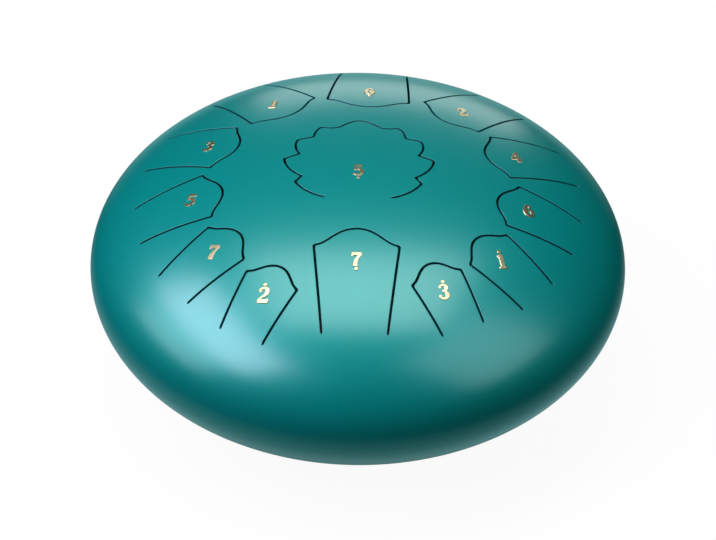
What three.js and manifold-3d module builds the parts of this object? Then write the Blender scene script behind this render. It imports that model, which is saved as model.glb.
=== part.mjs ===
// Steel tongue drum with thirteen notes, for playing with fingers or mallets.
//
// Millimetres, +Z up, the player sits on the -Y side. The origin is the centre of the drum
// on the plane that its four feet stand on. Two pressed steel bowls meet rim to rim. The
// upper one is slit into twelve tongues in a ring and a lotus-shaped one in the middle, each
// with a foil numeral, and the lower one has a round sound hole between the rubber feet.

import * as THREE from "three";
import { mergeVertices } from "three/addons/utils/BufferGeometryUtils.js";
import Module from "manifold-3d";

// Shells
const RIM_RADIUS = 150; // outside radius where the two bowls meet
const UPPER_RISE = 63.5; // from the rim plane to the top of the drum
const LOWER_DEPTH = 64; // from the rim plane to the lowest point of the bowl
const SHEET = 1.6; // steel sheet
const UPPER_BULGE = { share: 0.81, power: 3.5 }; // share of a plain ellipse in the curve,
const LOWER_BULGE = { share: 0.75, power: 3.2 }; // and the power of the squarer rest
const SOUND_HOLE_RADIUS = 40;
const GROUND_CLEARANCE = 6; // from the floor to the lowest point of the bowl

// Tongues
const SLOT_WIDTH = 1.2; // cut by laser
const ROOT_MARGIN = 26.5; // from the rim to the circle on which the tongues are rooted
const LAND = 17; // plain band between the lotus and the nearest tongue tip
const BRIDGE = 4.8; // steel left between the tip corners of two neighbours
const FRONT_BRIDGE = 9; // the same, on both sides of the front tongue
const TAPER = 0.82; // width at the root over width at the tip corners
const FRONT_TAPER = 0.745;
const CROWN = 8.2; // from the tip corners to the point of the tip
const FRONT_CROWN = 11;
const TIP_SHOULDER = 0.68; // where the handles of the tip's ogee lie, in shares of the half
const TIP_POINT = 0.5; // width: at the corners, and level with the point
const OCTAVE_LENGTH = 0.7; // one octave up takes this share of the length
const OCTAVE_WIDTH = 0.73;

// Lotus tongue: reach of its middle petal, and its outline as shares of that reach
const LOTUS_REACH = 42.5;
const LOTUS_TOP_HANDLES = [0.5, 0.7]; // of the middle petal's ogee, in shares of its width
const LOTUS_PETALS = [
  // the notch before each petal, the petal's tip and how far its far side bellies out
  { notch: [0.325, 0.82], tip: [0.5, 0.845], belly: 0.12 },
  { notch: [0.59, 0.612], tip: [0.8, 0.56], belly: 0.14 },
  { notch: [0.76, 0.235], tip: [0.965, 0.15], belly: 0.12 },
  { notch: [0.715, -0.23], tip: [0.805, -0.335], belly: 0.1 },
];
const LOTUS_END = [0.41, -0.65]; // where the slot stops, beside the lotus tongue's root

// Foil numerals
const DIGIT_HEIGHT = 9;
const DIGIT_FROM_CORNERS = 7; // from the tip corners' circle to the middle of the marks
const LOTUS_DIGIT_OFFSET = 7; // the middle marks lie this much nearer to the player
const LEAN_AT_RIM = 30; // degrees that a numeral beside the rim leans to the centre
const DOT_RADIUS = 0.95; // octave dot
const DOT_GAP = 0.6; // between a numeral and its dot
const FOIL = 0.3; // thickness of the foil and its clear backing
const GLUE_GAP = 0.3; // adhesive between a numeral and the steel

// Feet and their fasteners
const FOOT_CIRCLE = 75; // radius on which the feet sit
const FOOT_COUNT = 4;
const FOOT_TOP_RADIUS = 12.5;
const FOOT_BOTTOM_RADIUS = 10;
const FOOT_PAD = 5; // rubber between the bowl and the screw head
const SCREW_RADIUS = 2;
const HEAD_RADIUS = 4;
const HEAD_HEIGHT = 2.6;
const HEAD_CURVE = [
  // the domed top of the head, as shares of its radius and height
  [0.6, 0.93],
  [0.92, 0.6],
  [1, 0.25],
];
const DRIVE_SPAN = 4.8; // length of the cross slot in the screw head
const DRIVE_WIDTH = 0.9;
const DRIVE_DEPTH = 1.2;
const THREAD_CHAMFER = 0.5;
const WASHER_RADIUS = 6;
const WASHER_THICKNESS = 1;
const NUT_FLATS = 7;
const NUT_HEIGHT = 3.2;
const THREAD_OVERHANG = 1.8; // thread that stands past the nut
const FIT = 0.3; // clearance round and between pieces
const WELL_FIT = 0.9; // clearance round the screw head in the foot's well
const WASHER_LIFT = 0.5; // a flat washer lies on its edge inside the curved bowl

// Facets
const ROUND_STEPS = 56; // round the shells; a multiple of 8, so that each foot sees the same
const PROFILE_STEPS = 11; // from the pole of a shell to its rim
const CURVE_STEPS = 6; // along a tongue's tip or half of a petal's side
const STROKE_STEPS = 2; // between two points of a numeral's stroke
const SMALL_ROUND_STEPS = 22; // round a foot
const SCREW_STEPS = 14;

// Making of the solids
const CUT_MARGIN = 0.5; // a cutter stands this much past what it cuts
const MITRE_LIMIT = 0.3; // least cosine of half a corner, so that sharp corners stay short
const SAME_POINT = 1e-4; // points closer than this are one
const HALVINGS = 50; // steps in the search for the tongue width that closes the ring

const RIM_HEIGHT = GROUND_CLEARANCE + LOWER_DEPTH;
const ROOT_CIRCLE = RIM_RADIUS - ROOT_MARGIN;

// The notes in a ring, counter-clockwise from the player: scale number, octave, and how much
// nearer to the centre than the root circle the tongue is rooted.
const RING_NOTES = [
  { number: 7, octave: -1, inset: 8.5 },
  { number: 3, octave: 1, inset: 3.5 },
  { number: 1, octave: 1, inset: 0 },
  { number: 6, octave: 0, inset: 0 },
  { number: 4, octave: 0, inset: 0 },
  { number: 2, octave: 0, inset: 0 },
  { number: 6, octave: -1, inset: 0 },
  { number: 1, octave: 0, inset: 0 },
  { number: 3, octave: 0, inset: 0 },
  { number: 5, octave: 0, inset: 0 },
  { number: 7, octave: 0, inset: 0 },
  { number: 2, octave: 1, inset: -2 },
];
const CENTRE_NOTE = { number: 5, octave: -1 };
const MAJOR_SCALE = [0, 2, 4, 5, 7, 9, 11]; // semitones of the scale numbers 1 to 7

const wasm = await Module();
wasm.setup();

// Solids

function toSolid(geometry) {
  const bare = geometry.clone();
  bare.deleteAttribute("normal");
  bare.deleteAttribute("uv");
  const merged = mergeVertices(bare, SAME_POINT);
  const index = merged.index.array;
  const triangles = [];
  for (let i = 0; i < index.length; i += 3) {
    const [a, b, c] = index.slice(i, i + 3);
    // a lathe leaves triangles without area where its profile lies on the axis
    if (a !== b && b !== c && c !== a) {
      triangles.push(a, b, c);
    }
  }
  return new wasm.Manifold(
    new wasm.Mesh({
      numProp: 3,
      vertProperties: Float32Array.from(merged.attributes.position.array),
      triVerts: Uint32Array.from(triangles),
    }),
  );
}

function toGeometry(solid) {
  const mesh = solid.getMesh();
  const geometry = new THREE.BufferGeometry();
  geometry.setAttribute("position", new THREE.BufferAttribute(mesh.vertProperties, 3));
  geometry.setIndex(new THREE.BufferAttribute(mesh.triVerts, 1));
  geometry.computeVertexNormals();
  return geometry;
}

// Turns a profile of [radius, height] points, given counter-clockwise, about the Z axis.
function revolve(profile, steps) {
  const points = profile.map(([radius, height]) => new THREE.Vector2(radius, height));
  return new THREE.LatheGeometry(points, steps).rotateX(Math.PI / 2);
}

function extrude(shape, depth, base) {
  const settings = { depth, bevelEnabled: false, curveSegments: CURVE_STEPS };
  return new THREE.ExtrudeGeometry(shape, settings).translate(0, 0, base);
}

// A band of constant width along a chain of plan points, with mitred corners.
function ribbon(points, width) {
  const left = [];
  const right = [];
  points.forEach((point, i) => {
    const before = points[Math.max(i - 1, 0)];
    const after = points[Math.min(i + 1, points.length - 1)];
    const into = (i > 0 ? point.clone().sub(before) : after.clone().sub(point)).normalize();
    const out = (i < points.length - 1 ? after.clone().sub(point) : into.clone()).normalize();
    const normal = new THREE.Vector2(-into.y - out.y, into.x + out.x).normalize();
    const mitre = Math.max(normal.dot(new THREE.Vector2(-into.y, into.x)), MITRE_LIMIT);
    const reach = width / 2 / mitre;
    left.push(point.clone().addScaledVector(normal, reach));
    right.push(point.clone().addScaledVector(normal, -reach));
  });
  return new THREE.Shape([...right, ...left.reverse()]);
}

// Shell curve: share * (r/R)^2 + (1 - share) * (r/R)^power + (z/rise)^2 = 1. With a share of
// 1 it is an ellipse; the rest makes the shoulder fuller. It meets the rim plane upright.

function curveHeight(radius, rise, bulge) {
  const r = Math.min(radius / RIM_RADIUS, 1);
  const flat = bulge.share * r ** 2 + (1 - bulge.share) * r ** bulge.power;
  return rise * Math.sqrt(Math.max(1 - flat, 0));
}

// Unit normal [outward, upward] of the curve at a radius.
function curveNormal(radius, rise, bulge) {
  const r = Math.min(radius / RIM_RADIUS, 1);
  const steep = 2 * bulge.share * r + (1 - bulge.share) * bulge.power * r ** (bulge.power - 1);
  const out = steep / RIM_RADIUS;
  const up = (2 * curveHeight(radius, rise, bulge)) / rise ** 2;
  const length = Math.hypot(out, up);
  return [out / length, up / length];
}

// Points of the curve from a radius near the pole out to the rim, moved by an offset along
// the normal. Even steps of the angle make them closer where the curve turns down.
function curvePoints(from, rise, bulge, offset) {
  const first = Math.asin(from / RIM_RADIUS);
  return Array.from({ length: PROFILE_STEPS + 1 }, (_, i) => {
    const angle = first + ((Math.PI / 2 - first) * i) / PROFILE_STEPS;
    const radius = i === PROFILE_STEPS ? RIM_RADIUS : RIM_RADIUS * Math.sin(angle);
    const height = i === PROFILE_STEPS ? 0 : curveHeight(radius, rise, bulge);
    const [out, up] = i === PROFILE_STEPS ? [1, 0] : curveNormal(radius, rise, bulge);
    return [radius + out * offset, height + up * offset];
  });
}

function mirrorDown(points) {
  return points.map(([radius, height]) => [radius, -height]);
}

// Tongues

function pitchInOctaves({ number, octave }) {
  return MAJOR_SCALE[number - 1] / 12 + octave;
}

// Radii, widths and angles of the ring. A bar sounds at the inverse square of its length, so
// the tongues shorten evenly with pitch, and the longest stops one land short of the lotus.
// The widths shrink alike, scaled so that the ring closes with the named bridges.
function layOutRing() {
  const pitches = RING_NOTES.map(pitchInOctaves);
  const lowest = Math.min(...pitches);
  const last = RING_NOTES.length - 1;
  const build = (widest) => {
    const longest = ROOT_CIRCLE - Math.hypot(LOTUS_REACH + LAND + CROWN, widest / 2);
    const tongues = RING_NOTES.map((note, i) => {
      const step = pitches[i] - lowest;
      const half = (widest / 2) * OCTAVE_WIDTH ** step;
      const root = ROOT_CIRCLE - note.inset;
      return {
        note,
        root,
        corner: root - longest * OCTAVE_LENGTH ** step,
        half,
        rootHalf: half * (i === 0 ? FRONT_TAPER : TAPER),
        crown: i === 0 ? FRONT_CROWN : CROWN,
      };
    });
    // each takes its angle at its own tip corners, the front one where its neighbours end
    const meeting = (tongues[1].corner + tongues[last].corner) / 2;
    tongues.forEach((tongue, i) => {
      const t = (meeting - tongue.corner) / (tongue.root - tongue.corner);
      const radius = i === 0 ? meeting : tongue.corner;
      const half = i === 0 ? THREE.MathUtils.lerp(tongue.half, tongue.rootHalf, t) : tongue.half;
      tongue.spacing = radius;
      tongue.halfAngle = Math.asin(half / radius);
    });
    let angle = 0;
    tongues.forEach((tongue, i) => {
      const next = tongues[(i + 1) % tongues.length];
      const gap = i === 0 || i === last ? FRONT_BRIDGE : BRIDGE;
      tongue.angle = angle - Math.PI / 2;
      angle += tongue.halfAngle + next.halfAngle;
      angle += (gap + SLOT_WIDTH) / ((tongue.spacing + next.spacing) / 2);
    });
    return { tongues, excess: angle - 2 * Math.PI };
  };
  let narrow = 1;
  let wide = RIM_RADIUS / 2;
  for (let i = 0; i < HALVINGS; i += 1) {
    const middle = (narrow + wide) / 2;
    if (build(middle).excess > 0) {
      wide = middle;
    } else {
      narrow = middle;
    }
  }
  return build(narrow).tongues;
}

// Centre line of a ring tongue's slot, with X along the tongue from the drum's centre: up one
// side, over the pointed tip in two ogee curves, and down the other side.
function tongueLine({ corner, root, half, rootHalf, crown }) {
  const cornerX = Math.sqrt(corner ** 2 - half ** 2);
  const rootX = Math.sqrt(root ** 2 - rootHalf ** 2);
  const apexX = cornerX - crown;
  const ogee = new THREE.CubicBezierCurve(
    new THREE.Vector2(cornerX, half),
    new THREE.Vector2(cornerX, half * TIP_SHOULDER),
    new THREE.Vector2(apexX, half * TIP_POINT),
    new THREE.Vector2(apexX, 0),
  );
  const side = [new THREE.Vector2(rootX, rootHalf), ...ogee.getPoints(CURVE_STEPS)];
  const otherSide = side.slice(0, -1).map(({ x, y }) => new THREE.Vector2(x, -y));
  return [...side, ...otherSide.reverse()];
}

// Centre line of the lotus slot, from its end on the right round the back to the left.
function lotusLine() {
  const at = ([x, y]) => new THREE.Vector2(x, y).multiplyScalar(LOTUS_REACH);
  const right = [];
  // the middle petal runs in an ogee from its point down to the first notch
  const first = at(LOTUS_PETALS[0].notch);
  const ogee = new THREE.CubicBezierCurve(
    at([0, 1]),
    new THREE.Vector2(first.x * LOTUS_TOP_HANDLES[0], LOTUS_REACH),
    new THREE.Vector2(first.x * LOTUS_TOP_HANDLES[1], first.y),
    first,
  );
  right.push(...ogee.getPoints(CURVE_STEPS));
  LOTUS_PETALS.forEach(({ tip, belly }, i) => {
    const end = at(i + 1 < LOTUS_PETALS.length ? LOTUS_PETALS[i + 1].notch : LOTUS_END);
    const start = at(tip);
    const along = end.clone().sub(start);
    const outward = new THREE.Vector2(-along.y, along.x).multiplyScalar(belly * 2);
    const middle = start.clone().add(end).multiplyScalar(0.5).add(outward);
    const side = new THREE.QuadraticBezierCurve(start, middle, end);
    right.push(...side.getPoints(CURVE_STEPS / 2));
  });
  const left = right.slice(1).map(({ x, y }) => new THREE.Vector2(-x, y));
  return [...right.reverse(), ...left];
}

function slotCutter(line, angle) {
  const height = UPPER_RISE + 2 * CUT_MARGIN;
  const prism = extrude(ribbon(line, SLOT_WIDTH), height, -CUT_MARGIN);
  return toSolid(prism.rotateZ(angle));
}

// Upper shell: the pressed dome with its thirteen tongues, in one sheet.
function upperShell(tongues) {
  const outer = curvePoints(0, UPPER_RISE, UPPER_BULGE, 0);
  const inner = curvePoints(0, UPPER_RISE, UPPER_BULGE, -SHEET);
  const profile = [...outer, ...inner.reverse(), outer[0]];
  let dome = toSolid(revolve(profile.reverse(), ROUND_STEPS));
  for (const tongue of tongues) {
    dome = dome.subtract(slotCutter(tongueLine(tongue), tongue.angle));
  }
  return toGeometry(dome.subtract(slotCutter(lotusLine(), 0)));
}

// Lower shell: the pressed bowl, pierced by the sound hole and the feet's screws.
function lowerShell() {
  const outer = curvePoints(SOUND_HOLE_RADIUS, LOWER_DEPTH, LOWER_BULGE, 0);
  const inner = curvePoints(SOUND_HOLE_RADIUS, LOWER_DEPTH, LOWER_BULGE, -SHEET);
  inner[0] = [SOUND_HOLE_RADIUS, curveHeight(SOUND_HOLE_RADIUS, LOWER_DEPTH, LOWER_BULGE) - SHEET];
  const profile = mirrorDown([...outer, ...inner.reverse(), outer[0]]);
  let bowl = toSolid(revolve(profile, ROUND_STEPS));
  const bore = SCREW_RADIUS + FIT;
  const depth = 2 * SHEET + 2 * CUT_MARGIN;
  for (let i = 0; i < FOOT_COUNT; i += 1) {
    const drill = new THREE.CylinderGeometry(bore, bore, depth, SCREW_STEPS);
    drill.rotateX(Math.PI / 2).applyMatrix4(footSeat()).rotateZ(footAngle(i));
    bowl = bowl.subtract(toSolid(drill));
  }
  return toGeometry(bowl);
}

// Numerals, as strokes in units of their height, centred on the origin. A stroke is a smooth
// line through its points with a width; a ball is the round end of a curved stroke.

const NUMERALS = {
  1: {
    strokes: [
      { width: 0.19, line: [[0.02, 0.5], [0.02, -0.46]] },
      { width: 0.12, line: [[0.04, 0.44], [-0.17, 0.3]] },
      { width: 0.1, line: [[-0.2, -0.45], [0.24, -0.45]] },
    ],
    balls: [],
  },
  2: {
    strokes: [
      {
        width: 0.12,
        line: [[-0.22, 0.2], [-0.17, 0.38], [0, 0.43], [0.17, 0.36], [0.17, 0.14]],
      },
      {
        width: 0.13,
        line: [[0.17, 0.2], [0.1, -0.02], [-0.12, -0.22], [-0.23, -0.4]],
      },
      { width: 0.16, line: [[-0.28, -0.42], [0.29, -0.42]] },
      { width: 0.08, line: [[0.25, -0.4], [0.27, -0.22]] },
    ],
    balls: [[-0.18, 0.22, 0.09]],
  },
  3: {
    strokes: [
      {
        width: 0.12,
        line: [[-0.19, 0.32], [-0.06, 0.44], [0.1, 0.42], [0.16, 0.26], [0.08, 0.08], [-0.07, 0.04]],
      },
      {
        width: 0.13,
        line: [[-0.07, 0.04], [0.12, 0], [0.19, -0.2], [0.1, -0.4], [-0.08, -0.44], [-0.22, -0.32]],
      },
    ],
    balls: [
      [-0.17, 0.29, 0.09],
      [-0.19, -0.29, 0.09],
    ],
  },
  4: {
    strokes: [
      { width: 0.16, line: [[0.12, 0.5], [0.12, -0.46]] },
      { width: 0.1, line: [[0.1, 0.46], [-0.27, -0.18]] },
      { width: 0.11, line: [[-0.31, -0.2], [0.3, -0.2]] },
      { width: 0.1, line: [[-0.03, -0.45], [0.27, -0.45]] },
    ],
    balls: [],
  },
  5: {
    strokes: [
      { width: 0.14, line: [[-0.21, 0.43], [0.22, 0.43]] },
      { width: 0.09, line: [[-0.17, 0.45], [-0.19, 0.04]] },
      {
        width: 0.13,
        line: [[-0.19, 0.05], [0.02, 0.13], [0.18, 0], [0.19, -0.24], [0.04, -0.43], [-0.18, -0.38]],
      },
    ],
    balls: [[-0.19, -0.31, 0.09]],
  },
  6: {
    strokes: [
      {
        width: 0.13,
        line: [[0.2, 0.34], [0.06, 0.44], [-0.12, 0.3], [-0.19, 0], [-0.17, -0.26], [0, -0.43]],
      },
      {
        width: 0.12,
        line: [[-0.18, -0.12], [-0.04, 0.07], [0.15, 0.02], [0.2, -0.18], [0.14, -0.37], [0, -0.44]],
      },
    ],
    balls: [[0.17, 0.32, 0.09]],
  },
  7: {
    strokes: [
      { width: 0.16, line: [[-0.26, 0.42], [0.28, 0.42]] },
      { width: 0.08, line: [[-0.23, 0.4], [-0.24, 0.22]] },
      {
        width: 0.17,
        line: [[0.23, 0.4], [0.06, 0.12], [-0.03, -0.14], [-0.05, -0.5]],
      },
    ],
    balls: [],
  },
};

// A flat numeral lying on the plane z = 0, as thick as the foil.
function flatNumeral(number) {
  const { strokes, balls } = NUMERALS[number];
  const pieces = strokes.map(({ width, line }) => {
    const points = line.map(([x, y]) => new THREE.Vector2(x, y).multiplyScalar(DIGIT_HEIGHT));
    const steps = (points.length - 1) * STROKE_STEPS;
    const chain = points.length > 2 ? new THREE.SplineCurve(points).getPoints(steps) : points;
    return toSolid(extrude(ribbon(chain, width * DIGIT_HEIGHT), FOIL, 0));
  });
  for (const [x, y, radius] of balls) {
    const ball = disc(radius * DIGIT_HEIGHT).translate(x * DIGIT_HEIGHT, y * DIGIT_HEIGHT, 0);
    pieces.push(toSolid(ball));
  }
  return toGeometry(pieces.reduce((sum, piece) => sum.add(piece)));
}

function disc(radius) {
  const shape = new THREE.Shape().absarc(0, 0, radius, 0, 2 * Math.PI);
  return extrude(shape, FOIL, 0);
}

// Bends a flat piece onto the dome round the plan point `place`. Its own Y axis points to
// the back of the drum, turned to the centre line by the lean, and follows the slope.
function bendOntoDome(geometry, place, lean) {
  const [out, up] = curveNormal(place.length(), UPPER_RISE, UPPER_BULGE);
  const outward = place.length() > 0 ? place.clone().normalize() : new THREE.Vector2(0, 1);
  const normal = new THREE.Vector3(outward.x * out, outward.y * out, up);
  const upward = new THREE.Vector3(-Math.sin(lean), Math.cos(lean), 0);
  upward.addScaledVector(normal, -upward.dot(normal)).normalize();
  const sideways = new THREE.Vector3().crossVectors(upward, normal);
  const position = geometry.attributes.position;
  for (let i = 0; i < position.count; i += 1) {
    const spot = new THREE.Vector2(
      place.x + sideways.x * position.getX(i) + upward.x * position.getY(i),
      place.y + sideways.y * position.getX(i) + upward.y * position.getY(i),
    );
    const radius = spot.length();
    const slope = curveNormal(radius, UPPER_RISE, UPPER_BULGE);
    const lift = GLUE_GAP + position.getZ(i);
    const stretch = radius > 0 ? 1 + (slope[0] * lift) / radius : 1;
    const height = curveHeight(radius, UPPER_RISE, UPPER_BULGE) + slope[1] * lift;
    position.setXYZ(i, spot.x * stretch, spot.y * stretch, height);
  }
  geometry.computeVertexNormals();
  return geometry;
}

// Feet. They stand square to the bowl, so their axes splay out a little from the drum's.

function footAngle(i) {
  return ((i + 0.5) / FOOT_COUNT) * 2 * Math.PI;
}

// Places local Z along the foot's axis, pointing into the drum, with its zero on the outside
// of the bowl at the foot circle, in the XZ plane. Heights are from the rim plane.
function footSeat() {
  const [out, down] = curveNormal(FOOT_CIRCLE, LOWER_DEPTH, LOWER_BULGE);
  const seat = new THREE.Matrix4().makeRotationY(-Math.atan2(out, down));
  return seat.setPosition(FOOT_CIRCLE, 0, -curveHeight(FOOT_CIRCLE, LOWER_DEPTH, LOWER_BULGE));
}

// The rubber foot: a blunt cone with a screw well, moulded to the bowl above and standing
// flat on the floor below.
function footBody() {
  const length = 2 * (RIM_HEIGHT - curveHeight(FOOT_CIRCLE, LOWER_DEPTH, LOWER_BULGE));
  const wall = (depth) => {
    const t = depth / length;
    return THREE.MathUtils.lerp(FOOT_TOP_RADIUS, 2 * FOOT_BOTTOM_RADIUS - FOOT_TOP_RADIUS, t);
  };
  const well = HEAD_RADIUS + WELL_FIT;
  const bore = SCREW_RADIUS + FIT;
  // the blank is longer at both ends, and cut by the bowl and by the floor
  const blank = [
    [bore, -FOOT_PAD],
    [well, -FOOT_PAD],
    [well, -length],
    [wall(length), -length],
    [FOOT_TOP_RADIUS, 0],
    [FOOT_TOP_RADIUS, FOOT_PAD],
    [bore, FOOT_PAD],
    [bore, -FOOT_PAD],
  ];
  const cone = toSolid(revolve(blank, SMALL_ROUND_STEPS).applyMatrix4(footSeat()));
  const outer = curvePoints(SOUND_HOLE_RADIUS, LOWER_DEPTH, LOWER_BULGE, FIT);
  const pole = [0, outer[0][1]];
  const bowl = toSolid(revolve(mirrorDown([pole, ...outer, [0, 0], pole]), ROUND_STEPS));
  const floor = new THREE.BoxGeometry(2 * RIM_RADIUS, 2 * RIM_RADIUS, RIM_HEIGHT);
  floor.translate(0, 0, -1.5 * RIM_HEIGHT);
  return toGeometry(cone.subtract(bowl).subtract(toSolid(floor)));
}

// Pan-head screw from below: its head bears on the pad in the well.
function screwBody() {
  const head = -FOOT_PAD - FIT;
  const tip = SHEET + WASHER_LIFT + WASHER_THICKNESS + FIT + NUT_HEIGHT + THREAD_OVERHANG;
  const profile = [
    [0, head - HEAD_HEIGHT],
    ...HEAD_CURVE.map(([across, high]) => [HEAD_RADIUS * across, head - HEAD_HEIGHT * high]),
    [HEAD_RADIUS, head],
    [SCREW_RADIUS, head],
    [SCREW_RADIUS, tip - THREAD_CHAMFER],
    [SCREW_RADIUS - THREAD_CHAMFER, tip],
    [0, tip],
  ];
  let screw = toSolid(revolve(profile, SCREW_STEPS));
  for (const turn of [0, Math.PI / 2]) {
    const slot = new THREE.BoxGeometry(DRIVE_SPAN, DRIVE_WIDTH, 2 * DRIVE_DEPTH);
    slot.rotateZ(turn).translate(0, 0, head - HEAD_HEIGHT);
    screw = screw.subtract(toSolid(slot));
  }
  return toGeometry(screw);
}

function ring(outerShape, bore, thickness, base) {
  outerShape.holes.push(new THREE.Path().absarc(0, 0, bore, 0, 2 * Math.PI, true));
  return extrude(outerShape, thickness, base);
}

function washerBody() {
  const base = SHEET + WASHER_LIFT;
  const outline = new THREE.Shape().absarc(0, 0, WASHER_RADIUS, 0, 2 * Math.PI);
  return ring(outline, SCREW_RADIUS + FIT, WASHER_THICKNESS, base);
}

function nutBody() {
  const base = SHEET + WASHER_LIFT + WASHER_THICKNESS + FIT;
  const corners = Array.from({ length: 6 }, (_, i) => {
    const angle = (i * Math.PI) / 3;
    const reach = NUT_FLATS / Math.sqrt(3);
    return new THREE.Vector2(reach * Math.cos(angle), reach * Math.sin(angle));
  });
  return ring(new THREE.Shape(corners), SCREW_RADIUS + FIT, NUT_HEIGHT, base);
}

// Finishes
const paint = new THREE.MeshStandardMaterial({ color: 0x00918c, roughness: 0.42, metalness: 0.1 });
const foil = new THREE.MeshStandardMaterial({ color: 0xd9b65c, roughness: 0.18, metalness: 1 });
const rubber = new THREE.MeshStandardMaterial({ color: 0x1c1c1d, roughness: 0.8, metalness: 0 });
const zinc = new THREE.MeshStandardMaterial({ color: 0xb9bcc0, roughness: 0.35, metalness: 1 });

function named(name, geometry, material) {
  const mesh = new THREE.Mesh(geometry, material);
  mesh.name = name;
  return mesh;
}

function noteName({ number, octave }) {
  return `${["low", "mid", "high"][octave + 1]}_${number}`;
}

// The numeral of a note and its octave dot: below for the low octave, above for the high one.
function noteMarks(note, place) {
  const { number, octave } = note;
  const lean = (THREE.MathUtils.degToRad(LEAN_AT_RIM) * place.x) / RIM_RADIUS;
  // the numeral and its dot are centred together
  const middle = (-octave * (DOT_GAP + 2 * DOT_RADIUS)) / 2;
  const numeral = bendOntoDome(flatNumeral(number).translate(0, middle, 0), place, lean);
  const marks = [named(`numeral_${noteName(note)}`, numeral, foil)];
  if (octave !== 0) {
    const away = middle + octave * (DIGIT_HEIGHT / 2 + DOT_GAP + DOT_RADIUS);
    const dot = bendOntoDome(disc(DOT_RADIUS).translate(0, away, 0), place, lean);
    marks.push(named(`dot_${noteName(note)}`, dot, foil));
  }
  return marks;
}

function buildDrum() {
  const drum = new THREE.Group();
  const body = new THREE.Group();
  body.position.z = RIM_HEIGHT;
  drum.add(body);

  const tongues = layOutRing();
  body.add(named("upper_shell", upperShell(tongues), paint));
  body.add(named("lower_shell", lowerShell(), paint));

  for (const tongue of tongues) {
    const reach = tongue.corner + DIGIT_FROM_CORNERS;
    const place = new THREE.Vector2(Math.cos(tongue.angle), Math.sin(tongue.angle));
    body.add(...noteMarks(tongue.note, place.multiplyScalar(reach)));
  }
  body.add(...noteMarks(CENTRE_NOTE, new THREE.Vector2(0, -LOTUS_DIGIT_OFFSET)));

  const rubberFoot = footBody();
  const screw = screwBody().applyMatrix4(footSeat());
  const washer = washerBody().applyMatrix4(footSeat());
  const nut = nutBody().applyMatrix4(footSeat());
  for (let i = 0; i < FOOT_COUNT; i += 1) {
    const stand = new THREE.Group();
    stand.rotation.z = footAngle(i);
    stand.add(named(`foot_${i + 1}`, rubberFoot, rubber));
    stand.add(named(`foot_screw_${i + 1}`, screw, zinc));
    stand.add(named(`foot_washer_${i + 1}`, washer, zinc));
    stand.add(named(`foot_nut_${i + 1}`, nut, zinc));
    body.add(stand);
  }
  return drum;
}

export default buildDrum();
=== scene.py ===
# Steel tongue drum with thirteen notes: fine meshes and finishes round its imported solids.
# It is laid out as an add-on and run as a script. Lengths in the sums are millimetres, and
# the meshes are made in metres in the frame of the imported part: +Z up, the player at -Y.

import math
from functools import partial

import bpy
import numpy as np
from mathutils import Matrix, Vector
from mathutils.geometry import delaunay_2d_cdt
from mathutils.kdtree import KDTree


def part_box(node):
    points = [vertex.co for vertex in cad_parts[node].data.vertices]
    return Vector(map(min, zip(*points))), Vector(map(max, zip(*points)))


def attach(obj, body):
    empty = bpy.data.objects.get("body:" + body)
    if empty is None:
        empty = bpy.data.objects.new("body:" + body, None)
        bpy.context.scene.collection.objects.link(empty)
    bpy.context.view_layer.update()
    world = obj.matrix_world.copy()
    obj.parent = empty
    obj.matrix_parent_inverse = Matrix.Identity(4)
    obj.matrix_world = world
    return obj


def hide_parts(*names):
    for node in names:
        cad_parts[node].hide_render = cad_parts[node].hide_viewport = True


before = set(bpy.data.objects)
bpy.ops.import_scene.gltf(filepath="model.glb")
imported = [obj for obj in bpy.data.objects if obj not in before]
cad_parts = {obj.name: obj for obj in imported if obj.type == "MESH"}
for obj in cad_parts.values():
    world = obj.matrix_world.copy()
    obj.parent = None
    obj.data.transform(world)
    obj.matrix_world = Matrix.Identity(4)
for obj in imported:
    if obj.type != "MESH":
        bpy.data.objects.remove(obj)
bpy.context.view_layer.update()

bl_info = {
    "name": "Steel tongue drum",
    "version": (1, 0, 0),
    "blender": (4, 5, 0),
    "location": "View3D > Sidebar > Drum",
    "description": "Builds a painted steel tongue drum with foil numerals on a studio floor",
    "category": "Add Mesh",
}

MM = 0.001

# The bowls' curve: share * (r/R)^2 + (1 - share) * (r/R)^power + (z/rise)^2 = 1
RIM_RADIUS = 150.0
RIM_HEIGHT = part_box("upper_shell")[0].z / MM
SHEET = 1.6
SOUND_HOLE_RADIUS = 40.0
SCREW_RADIUS = 2.0
# Clearance round the screws and between the feet and the bowl
FIT = 0.3
BORE = SCREW_RADIUS + FIT
FOOT_CIRCLE = 75.0
FOOT_COUNT = 4
FOOT_TOP_RADIUS = 12.5
FOOT_SOLE_RADIUS = 10.0
FOOT_SOFT = 0.9
FOOT_WELL = 4.9
FOOT_PAD = 5.0
# Where a rounded edge has its points, in radians from the face it leaves
EASED = np.radians([30, 60, 90])
# Rounds after which a search by small steps has settled
ROUNDS = 8


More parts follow.
